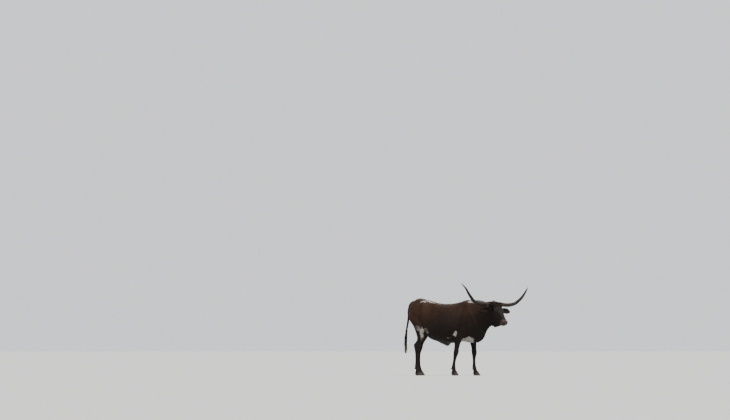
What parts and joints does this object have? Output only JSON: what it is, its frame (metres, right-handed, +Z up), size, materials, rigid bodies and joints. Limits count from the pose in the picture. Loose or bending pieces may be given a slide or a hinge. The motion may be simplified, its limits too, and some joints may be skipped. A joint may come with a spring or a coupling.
{
  "type": "longhorn steer figure",
  "caption": "Life-size standing longhorn steer in a dark brown coat with white patches, wide upswept horns and its head turned to the side.",
  "frame": {"origin": "centre of the bounding box in plan, at the level of the soles", "axes": "+X along the trunk towards the head, +Y to the animal's left, +Z up"},
  "size_m": [2.3482, 1.1124, 1.7215],
  "materials": {
    "hide": "short smooth coat, dark seal brown with warmer rump and back and a few white patches",
    "switch": "long coarse hair, dark with sun-bleached ends",
    "horn": "worn dark horn, grey brown with growth rings at the base and nearly black at the tips",
    "hoof": "dull dark horn with fine rings",
    "eye": "wet and glossy, dark brown"
  },
  "bodies": {
    "root": {"torso": "hide", "neck": "hide", "head": "hide", "horn_left": "horn", "horn_right": "horn", "ear_left": "hide", "ear_right": "hide", "eye_left": "eye", "eye_right": "eye", "foreleg_left_upper": "hide", "foreleg_left_lower": "hide", "foreleg_right_upper": "hide", "foreleg_right_lower": "hide", "hindleg_left_upper": "hide", "hindleg_left_lower": "hide", "hindleg_right_upper": "hide", "hindleg_right_lower": "hide", "tail_upper": "hide", "tail_lower": "hide", "tail_switch": "switch", "hoof_foreleg_left_outer": "hoof", "hoof_foreleg_left_inner": "hoof", "hoof_foreleg_right_outer": "hoof", "hoof_foreleg_right_inner": "hoof", "hoof_hindleg_left_outer": "hoof", "hoof_hindleg_left_inner": "hoof", "hoof_hindleg_right_outer": "hoof", "hoof_hindleg_right_inner": "hoof"}
  },
  "joints": []
}
